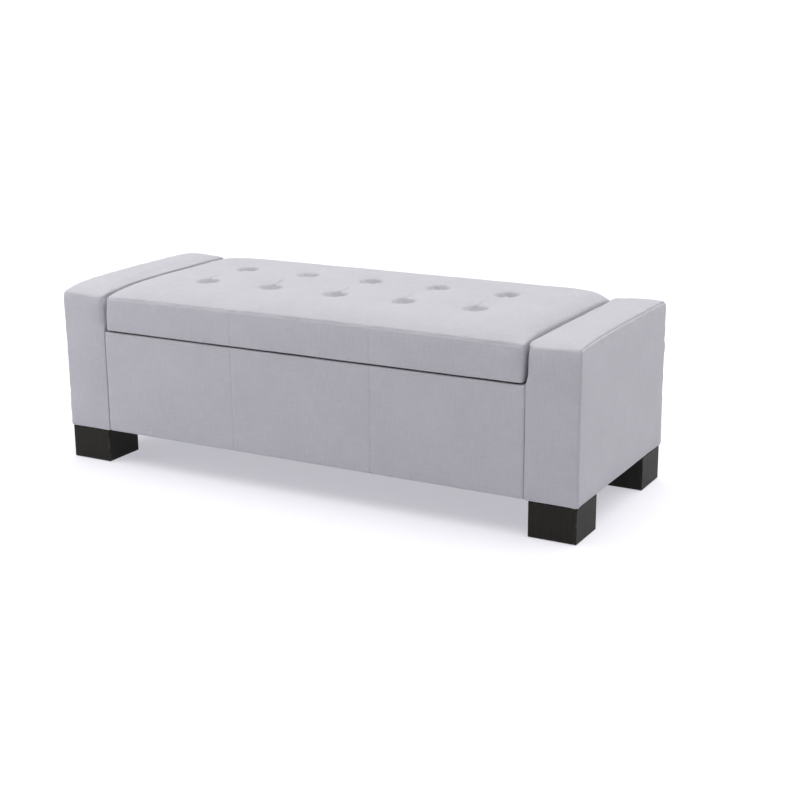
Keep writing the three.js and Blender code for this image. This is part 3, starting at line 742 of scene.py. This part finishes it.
def cloth_button(name):
    """A covered button: a low dome with the cloth gathered in small folds round its edge."""
    low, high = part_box(name)
    centre = (low + high) / 2
    radius = (high.x - low.x) / 2
    dome, edge, rings, around = 4.6 * MM, 1.4 * MM, 12, 64
    base = high.z - dome - edge
    verts, faces, uvs = [(centre.x, centre.y, high.z)], [], []
    for ring in range(1, rings + 1):
        share = ring / rings
        for angle in angles(around):
            gather = math.sin(11 * angle + 1.3 * math.sin(3 * angle))
            fold = 0.22 * MM * gather * max(0.0, share - 0.55) / 0.45
            reach = radius * math.sin(share * math.pi / 2) + fold
            height = base + edge + dome * math.cos(share * math.pi / 2) + fold
            verts.append((centre.x + reach * math.cos(angle), centre.y + reach * math.sin(angle), height))
    for drop, shrink in ((edge, 1.0), (edge + 0.8 * MM, 0.8)):
        for angle in angles(around):
            reach = radius * shrink
            height = base + edge - drop
            verts.append((centre.x + reach * math.cos(angle), centre.y + reach * math.sin(angle), height))
    for k in range(around):
        faces.append([0, 1 + k, 1 + (k + 1) % around])
    faces += ring_quads(1, rings + 2, around, inwards=True)
    last = 1 + (rings + 1) * around
    faces.append([last + k for k in reversed(range(around))])
    for face in faces:
        uvs += [(verts[i][0], verts[i][1]) for i in face]
    finish_cloth(new_piece(name + "_cloth", verts, faces, uvs), "lid", 1.0, name)


def leg(node):
    """A square block leg with eased, rubbed edges, standing on a thin glide."""
    low, high = corners(node)
    glide = 1.2 * MM
    low = low + [0, 0, glide]
    ease = np.array((0, 0.7 * MM, 1.5 * MM, 3 * MM, 6 * MM))
    axis_lines = []
    for a in range(3):
        inner = np.linspace(low[a] + 14 * MM, high[a] - 14 * MM, 6)
        marks = np.concatenate([low[a] + ease, inner, high[a] - ease])
        axis_lines.append(np.unique(marks.round(7)))
    points, faces, _ = block_grid(*axis_lines)
    gaps = np.sort(np.minimum(points - low, high - points), axis=1)
    for first in range(6):
        for second in range(first + 1, 6):
            if first // 2 != second // 2:
                round_edge(points, low, high, SIDES[first], SIDES[second], 1.6 * MM)
    piece = new_piece(node + "_block", points, faces)
    wear = np.exp(-np.hypot(gaps[:, 0], gaps[:, 1]) / (2.2 * MM))
    piece.data.attributes.new("wear", "FLOAT", "POINT").data.foreach_set("value", wear.astype(np.float32))
    piece.data.materials.append(black_wood())
    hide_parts(node)
    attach(piece, "base")
    middle = (low + high) / 2
    profile = [(0, 0), (9 * MM, 0), (10 * MM, 0.3 * MM), (10 * MM, glide), (0, glide)]
    pad = turned(node + "_glide", profile, (middle[0], middle[1], 0), rubber())
    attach(pad, "base")


def screw_heads(name, places, facing, radius, rise, body):
    """Domed screw heads with a cross recess."""
    around, rings = 32, 7
    turn = Vector(facing).to_track_quat("Z", "Y").to_matrix()
    verts, faces = [], []
    for place in places:
        first = len(verts)
        verts.append(Vector(place) + turn @ Vector((0, 0, rise * 0.35)))
        for ring in range(1, rings + 1):
            share = ring / rings
            for angle in angles(around):
                x, y = radius * share * math.cos(angle), radius * share * math.sin(angle)
                cross = min(abs(x), abs(y)) < 0.16 * radius and share < 0.62
                height = rise * (0.35 if cross else math.cos(share * math.pi / 2) ** 0.5 if share < 1 else 0)
                verts.append(Vector(place) + turn @ Vector((x, y, height)))
        for k in range(around):
            faces.append([first, first + 1 + k, first + 1 + (k + 1) % around])
        faces += ring_quads(first + 1, rings, around, inwards=True)
    piece = new_piece(name, verts, faces)
    piece.data.materials.append(zinc())
    piece.data.set_sharp_from_angle(angle=math.radians(30))
    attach(piece, body)


def hinge_screws():
    """Flat screws in the two leaves, set half a space apart."""
    for node, body, up, shift, count in (
        ("hinge_box_leaf", "base", 1, 0.0, HINGE_SCREWS),
        ("hinge_lid_leaf", "lid", -1, 0.5, HINGE_SCREWS - 1),
    ):
        low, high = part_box(node)
        barrel = (high.z + low.z) / 2
        face = barrel - up * 0.5 * MM
        spacing = (high.x - low.x) / HINGE_SCREWS
        y = low.y + 11 * MM
        places = [(low.x + (i + 0.5 + shift) * spacing, y, face) for i in range(count)]
        screw_heads(node + "_screws", places, (0, 0, up), 2.9 * MM, 0.3 * MM, body)


def strut(side):
    """One gas strut: a painted tube with its gland, a polished rod, and an eye at each end."""
    pivots = {joint["name"]: Vector(joint["pos_m"]) for joint in frame["joints"] if "pos_m" in joint}
    foot, head = pivots[f"strut_tube_{side}_pivot"], pivots[f"strut_rod_{side}_pivot"]
    length = (head - foot).length
    along = (head - foot).normalized()
    low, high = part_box(f"strut_tube_{side}")
    radius = (high.x - low.x) / 2
    start, end = 9 * MM, length - 20 * MM
    tube_profile = [
        (0, start), (radius - 2 * MM, start), (radius, start + 2 * MM), (radius, end - 13 * MM),
        (radius - 0.7 * MM, end - 12 * MM), (radius - 0.7 * MM, end - 10 * MM), (radius, end - 9 * MM),
        (radius, end - 1.5 * MM), (radius - 1.5 * MM, end), (4.2 * MM, end), (4.0 * MM, end - 8 * MM),
    ]
    rod_profile = [(3.5 * MM, 17 * MM), (3.5 * MM, length - 11 * MM)]
    tube_neck, rod_neck = (4 * MM, 10 * MM), (length - 14 * MM, length - 5 * MM)
    for node, profile, eye_at, neck, look, slot in (
        (f"strut_tube_{side}", tube_profile, foot, tube_neck, black_paint(), "black_steel"),
        (f"strut_rod_{side}", rod_profile, head, rod_neck, chrome(), "polished_rod"),
    ):
        shaft = turned(f"{node}_shaft", profile, foot, look, along)
        stem_profile = [(0, neck[0]), (4 * MM, neck[0]), (4.6 * MM, sum(neck) / 2), (4 * MM, neck[1])]
        stem = turned(f"{node}_stem", stem_profile, foot, look, along)
        half, outer, bore = 5 * MM, 7 * MM, 3.2 * MM
        eye_profile = [
            (bore, -half), (outer - 1 * MM, -half), (outer, 1 * MM - half), (outer, half - 1 * MM),
            (outer - 1 * MM, half), (bore, half), (bore, -half),
        ]
        eye = turned(f"{node}_eye", eye_profile, eye_at, look, (1, 0, 0))
        whole = joined(f"{node}_turned", [shaft, stem, eye])
        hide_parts(node)
        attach(whole, node)


def rim_buffers():
    """Rubber buffers on the box's front rim that the lid comes down on."""
    low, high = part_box("front_cover")
    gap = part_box("lid_lining")[0].z - high.z
    outline = ((6, 0), (6, 0.5), (4.8, 0.8), (2.5, 0.95), (0, 0.97))  # radius in mm, share of the gap
    profile = [(radius * MM, gap * share) for radius, share in outline]
    for side, sign in HANDS:
        at = (sign * (high.x - 22 * MM), (low.y + high.y) / 2 + 3 * MM, high.z)
        piece = turned(f"rim_buffer_{side}", profile, at, rubber())
        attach(piece, "base")


def bracket_screws():
    offsets = (-9.5 * MM, 9.5 * MM)
    for side, sign in HANDS:
        low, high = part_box(f"strut_box_bracket_{side}")
        middle = (low + high) / 2
        plate = (high.x if sign > 0 else low.x) - sign * 2 * MM
        spots = [(plate, middle.y + dy, middle.z + dz) for dy in offsets for dz in offsets]
        screw_heads(f"strut_box_bracket_{side}_screws", spots, (-sign, 0, 0), 2.8 * MM, 1.1 * MM, "base")
        low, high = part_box(f"strut_lid_bracket_{side}")
        x = (low.x if sign > 0 else high.x) + sign * 5.5 * MM
        middle = (low.y + high.y) / 2
        spots = [(x, middle + dy, high.z - 2 * MM) for dy in (-15 * MM, 0, 15 * MM)]
        screw_heads(f"strut_lid_bracket_{side}_screws", spots, (0, 0, -1), 2.8 * MM, 1.1 * MM, "lid")


# ---- Materials ----


class Wiring:
    """Short calls for adding shader nodes that lead to the node `last`."""

    def __init__(self, tree, last="Principled BSDF"):
        self.tree = tree
        self.last = tree.nodes[last]

    def put(self, value, socket):
        if hasattr(value, "is_output"):
            self.tree.links.new(value, socket)
        else:
            socket.default_value = value

    def feed(self, name, value):
        self.put(value, self.last.inputs[name])

    def node(self, kind, inputs=None, **settings):
        made = self.tree.nodes.new(kind)
        for key, value in settings.items():
            setattr(made, key, value)
        for key, value in (inputs or {}).items():
            self.put(value, made.inputs[key])
        return made

    def place(self):
        return self.node("ShaderNodeTexCoord").outputs["Object"]

    def math(self, operation, *values, clamp=False):
        inputs = dict(enumerate(values))
        return self.node("ShaderNodeMath", inputs, operation=operation, use_clamp=clamp).outputs[0]

    def plus(self, a, b, clamp=False):
        return self.math("ADD", a, b, clamp=clamp)

    def times(self, a, b):
        return self.math("MULTIPLY", a, b)

    def scaled(self, vector, scale):
        return self.node("ShaderNodeMapping", {"Vector": vector, "Scale": scale}).outputs["Vector"]

    def noise(self, vector, scale=1.0, detail=2.0, roughness=0.5):
        inputs = {"Vector": vector, "Scale": scale, "Detail": detail, "Roughness": roughness}
        return self.node("ShaderNodeTexNoise", inputs).outputs["Fac"]

    def fit(self, value, low, high, to_low=0.0, to_high=1.0):
        inputs = {"Value": value, "From Min": low, "From Max": high, "To Min": to_low, "To Max": to_high}
        return self.node("ShaderNodeMapRange", inputs).outputs["Result"]

    def mix(self, amount, a, b):
        inputs = {"Factor": amount, "A": a, "B": b}
        return self.node("ShaderNodeMix", inputs, data_type="RGBA").outputs["Result"]

    def bump(self, height, distance, strength, onto=None):
        inputs = {"Height": height, "Distance": distance, "Strength": strength}
        if onto is not None:
            inputs["Normal"] = onto
        return self.node("ShaderNodeBump", inputs).outputs["Normal"]


def material(name):
    """Turns a function that wires a shader into one that gives its material."""

    def wrap(wire):
        def get():
            if name not in bpy.data.materials:
                made = bpy.data.materials.new(name)
                made.use_nodes = True
                wire(Wiring(made.node_tree))
            return bpy.data.materials[name]

        return get

    return wrap


LINEN_DARK = (0.400, 0.396, 0.434, 1)
LINEN_LIGHT = (0.520, 0.515, 0.556, 1)
THREAD_PITCH = 1.1 * MM


@material("linen")
def linen(w):
    """Light grey linen: a plain weave of uneven threads, with thicker slubs both ways."""
    cloth = w.node("ShaderNodeUVMap", uv_map="cloth").outputs["UV"]
    sway = w.noise(w.scaled(cloth, (60, 60, 1)), detail=1)
    parts = w.node("ShaderNodeSeparateXYZ", {0: cloth})
    shift = w.fit(sway, 0, 1, -0.6 * THREAD_PITCH, 0.6 * THREAD_PITCH)
    u = w.times(w.plus(parts.outputs["X"], shift), math.pi / THREAD_PITCH)
    v = w.times(w.plus(parts.outputs["Y"], shift), math.pi / THREAD_PITCH)
    over = w.times(w.math("SINE", u), w.math("SINE", v))
    warp = w.math("ABSOLUTE", w.math("SINE", u))
    weft = w.math("ABSOLUTE", w.math("SINE", v))
    side = w.fit(over, -0.2, 0.2)
    under = w.math("SUBTRACT", 1.0, side)
    weave = w.plus(w.times(warp, side), w.times(weft, under))

    streak_u = w.noise(w.scaled(cloth, (900, 26, 1)), detail=2, roughness=0.6)
    streak_v = w.noise(w.scaled(cloth, (26, 900, 1)), detail=2, roughness=0.6)
    slub_u = w.fit(w.noise(w.scaled(cloth, (520, 30, 1)), detail=0), 0.60, 0.74)
    slub_v = w.fit(w.noise(w.scaled(cloth, (30, 520, 1)), detail=0), 0.60, 0.74)
    slubs = w.math("MAXIMUM", slub_u, slub_v)
    streaks = w.plus(w.fit(streak_u, 0.25, 0.75, -0.5, 0.5), w.fit(streak_v, 0.25, 0.75, -0.5, 0.5))

    broad = w.fit(w.noise(w.scaled(cloth, (7, 7, 1)), detail=3), 0.3, 0.7, -0.12, 0.12)
    tone = w.plus(w.plus(w.times(streaks, 0.55), broad), 0.5, clamp=True)
    color = w.mix(tone, LINEN_DARK, LINEN_LIGHT)
    color = w.mix(w.times(slubs, 0.45), color, LINEN_LIGHT)
    # Darkens the cloth towards LINEN_DARK where the weave is low, between the threads: painted shade in the
    # weave's hollows.
    color = w.mix(w.fit(weave, 0.0, 0.75, 0.35, 0.0), color, LINEN_DARK)
    w.feed("Base Color", color)
    w.feed("Roughness", w.fit(weave, 0, 1, 0.96, 0.84))
    woven = w.bump(weave, 0.35 * MM, 0.7)
    w.feed("Normal", w.bump(w.plus(slubs, streaks), 0.25 * MM, 0.6, woven))
    w.feed("Sheen Weight", 0.18)
    w.feed("Sheen Roughness", 0.55)
    w.feed("Specular IOR Level", 0.25)


@material("grey_thread")
def thread(w):
    """Spun polyester thread in the cloth's own grey."""
    place = w.place()
    twist = w.noise(place, scale=2600, detail=2)
    w.feed("Base Color", w.mix(twist, (0.46, 0.455, 0.50, 1), (0.66, 0.65, 0.69, 1)))
    w.feed("Roughness", w.fit(twist, 0, 1, 0.6, 0.8))
    w.feed("Sheen Weight", 0.2)


@material("black_lacquered_wood")
def black_wood(w):
    """Black-brown lacquer over an open grain, rubbed lighter along its edges."""
    place = w.place()
    grain = w.noise(w.scaled(place, (260, 260, 14)), detail=4, roughness=0.65)
    cloud = w.noise(w.scaled(place, (30, 30, 12)), detail=2)
    wear = w.node("ShaderNodeAttribute", attribute_name="wear").outputs["Fac"]
    rubbed = w.times(wear, w.fit(w.noise(w.scaled(place, (180, 180, 90))), 0.48, 0.68))
    color = w.mix(w.fit(grain, 0.35, 0.65), (0.007, 0.0065, 0.0055, 1), (0.016, 0.0145, 0.012, 1))
    color = w.mix(w.times(cloud, 0.3), color, (0.02, 0.018, 0.015, 1))
    w.feed("Base Color", w.mix(w.times(rubbed, 0.6), color, (0.10, 0.075, 0.05, 1)))
    w.feed("Roughness", w.fit(grain, 0.3, 0.7, 0.42, 0.58))
    w.feed("Normal", w.bump(grain, 0.12 * MM, 0.5))
    w.feed("Specular IOR Level", 0.16)


@material("birch_plywood")
def plywood(w):
    place = w.place()
    grain = w.noise(w.scaled(place, (3, 60, 60)), scale=2.0, detail=5, roughness=0.6)
    plies = w.math("SINE", w.times(w.noise(w.scaled(place, (2, 2, 300)), detail=0), 20.0))
    color = w.mix(w.fit(grain, 0.3, 0.7), (0.42, 0.27, 0.14, 1), (0.66, 0.48, 0.29, 1))
    color = w.mix(w.fit(plies, -1, 1, 0.0, 0.25), color, (0.28, 0.17, 0.09, 1))
    w.feed("Base Color", color)
    w.feed("Roughness", w.fit(grain, 0.3, 0.7, 0.62, 0.8))
    w.feed("Normal", w.bump(grain, 0.2 * MM, 0.4))


@material("cut_foam")
def foam(w):
    place = w.place()
    cells = w.noise(place, scale=900, detail=2)
    w.feed("Base Color", w.mix(cells, (0.62, 0.55, 0.36, 1), (0.84, 0.78, 0.58, 1)))
    w.feed("Roughness", w.fit(cells, 0, 1, 0.85, 1.0))
    w.feed("Normal", w.bump(cells, 0.4 * MM, 0.8))


@material("black_lining_cloth")
def black_cloth(w):
    """Thin non-woven cloth: matted fibres pressed with a fine dot pattern."""
    place = w.place()
    fibres = w.noise(place, scale=700, detail=4, roughness=0.7)
    dots = w.node("ShaderNodeTexVoronoi", {"Vector": place, "Scale": 450})
    pressed = w.fit(dots.outputs["Distance"], 0.1, 0.4)
    color = w.mix(fibres, (0.010, 0.010, 0.011, 1), (0.040, 0.040, 0.043, 1))
    color = w.mix(w.times(pressed, 0.4), (0.012, 0.012, 0.013, 1), color)
    w.feed("Base Color", color)
    w.feed("Roughness", w.fit(pressed, 0, 1, 0.7, 0.95))
    w.feed("Normal", w.bump(w.plus(fibres, pressed), 0.12 * MM, 0.6))
    w.feed("Sheen Weight", 0.1)


def metal(w, dark, light, low, high, metallic=1.0, grain=0.05 * MM):
    """Metal or paint on metal, with faint mottling and hairline scratches."""
    place = w.place()
    mottle = w.noise(place, scale=160, detail=4, roughness=0.6)
    scratch = w.noise(w.scaled(place, (40, 1400, 1400)), detail=2)
    w.feed("Base Color", w.mix(mottle, dark, light))
    w.feed("Roughness", w.fit(w.plus(mottle, scratch), 0.6, 1.4, low, high))
    w.feed("Normal", w.bump(scratch, grain, 0.3))
    w.feed("Metallic", metallic)


@material("zinc_plate")
def zinc(w):
    metal(w, (0.50, 0.51, 0.52, 1), (0.68, 0.68, 0.67, 1), 0.28, 0.45)


@material("black_powder_coat")
def black_paint(w):
    metal(w, (0.012, 0.012, 0.013, 1), (0.03, 0.03, 0.032, 1), 0.4, 0.58, 0.0, 0.1 * MM)


@material("hard_chrome")
def chrome(w):
    metal(w, (0.72, 0.73, 0.75, 1), (0.82, 0.83, 0.85, 1), 0.08, 0.18, 1.0, 0.01 * MM)


@material("black_rubber")
def rubber(w):
    place = w.place()
    grit = w.noise(place, scale=1200, detail=3)
    w.feed("Base Color", w.mix(grit, (0.012, 0.012, 0.012, 1), (0.035, 0.035, 0.035, 1)))
    w.feed("Roughness", w.fit(grit, 0, 1, 0.6, 0.85))
    w.feed("Normal", w.bump(grit, 0.1 * MM, 0.5))


@material("pale_floor")
def pale_floor(w):
    w.feed("Base Color", FLOOR_COLOR)
    w.feed("Roughness", 1)
    w.feed("Specular IOR Level", 0)
    w.feed("Emission Color", FLOOR_GLOW)
    w.feed("Emission Strength", 0.5)


# ---- Camera, floor and light ----

CAMERA_PLACE = (1.66966, -2.82612, 1.06397)
CAMERA_TURN = math.radians(-28.880)  # about the upright, from looking along +Y
CAMERA_DIP = math.radians(15.402)
CAMERA_ROLL = math.radians(-0.3816)
CAMERA_LENS = 66.52
ROOM_LIGHT = 0.10
ROOM_COLOR = (0.97, 0.95, 1.08, 1)
OVERHEAD_LIGHT = 4.6
OVERHEAD_COLOR = (1.0, 0.995, 0.985)
OVERHEAD_SPREAD = 95  # degrees across
OVERHEAD_AIM = (-0.06, -0.14, -1)
SIDE_LIGHT = 15
SIDE_SIZE = 1.2
SIDE_PLACE = (-2.2, -1.4, 0.8)
SIDE_AIM = Vector((-0.3, 0, 0.2))
FLOOR_HALF = 400
FLOOR_COLOR = (0.44, 0.44, 0.44, 1)
FLOOR_GLOW = (0.97, 0.96, 1.05, 1)


def add_camera():
    data = bpy.data.cameras.new("camera")
    data.lens = CAMERA_LENS
    camera = add_object("camera", data)
    aim = Matrix.Rotation(-CAMERA_TURN, 4, "Z") @ Matrix.Rotation(math.pi / 2 - CAMERA_DIP, 4, "X")
    camera.matrix_world = Matrix.Translation(CAMERA_PLACE) @ aim @ Matrix.Rotation(CAMERA_ROLL, 4, "Z")
    bpy.context.scene.camera = camera


def add_floor():
    outline = [(x * FLOOR_HALF, y * FLOOR_HALF, 0) for x, y in ((-1, -1), (1, -1), (1, 1), (-1, 1))]
    floor = new_piece("floor", outline, [[0, 1, 2, 3]])
    floor.data.materials.append(pale_floor())


def add_light(name, kind, energy, aim):
    """A light that shines along `aim`, and its data."""
    data = bpy.data.lights.new(name, kind)
    data.energy = energy
    light = add_object(name, data)
    light.rotation_mode = "QUATERNION"
    light.rotation_quaternion = Vector(aim).to_track_quat("-Z", "Y")
    return light, data


def add_lights():
    """A broad soft light from overhead, a little to the left, in a white room."""
    scene = bpy.context.scene
    scene.view_settings.view_transform = "Standard"
    world = bpy.data.worlds.new("studio")
    scene.world = world
    world.use_nodes = True
    w = Wiring(world.node_tree, "Background")
    seen = w.node("ShaderNodeLightPath").outputs["Is Camera Ray"]
    w.feed("Color", w.mix(seen, ROOM_COLOR, (1, 1, 1, 1)))
    w.feed("Strength", w.fit(seen, 0, 1, ROOM_LIGHT, 1.0))
    _, overhead = add_light("overhead", "SUN", OVERHEAD_LIGHT, OVERHEAD_AIM)
    overhead.color = OVERHEAD_COLOR
    overhead.angle = math.radians(OVERHEAD_SPREAD)
    light, side = add_light("side", "AREA", SIDE_LIGHT, SIDE_AIM - Vector(SIDE_PLACE))
    light.location = SIDE_PLACE
    side.size = SIDE_SIZE


def main():
    add_camera()
    add_floor()
    add_lights()
    lid_cover()
    arm_covers()
    box_cover("front_cover", "front_upholstery", True)
    box_cover("back_cover", "back_upholstery", False)
    storage_lining()
    flat_linings()
    for name in frame["nodes"]:
        if name.startswith("button_"):
            cloth_button(name)
        if name.startswith("leg_") and "bolt" not in name:
            leg(name)
    for side in ("left", "right"):
        strut(side)
    hinge_screws()
    bracket_screws()
    rim_buffers()
    looks = {
        "plywood": plywood,
        "foam": foam,
        "upholstery": linen,
        "black_cloth": black_cloth,
        "black_wood": black_wood,
        "zinc_steel": zinc,
        "black_steel": black_paint,
        "polished_rod": chrome,
    }
    slots = {part["node"]: part["material_slot"] for part in frame["record"]["subparts"]}
    for name, node in frame["nodes"].items():
        node.data.materials.clear()
        node.data.materials.append(looks[slots[name]]())


main()
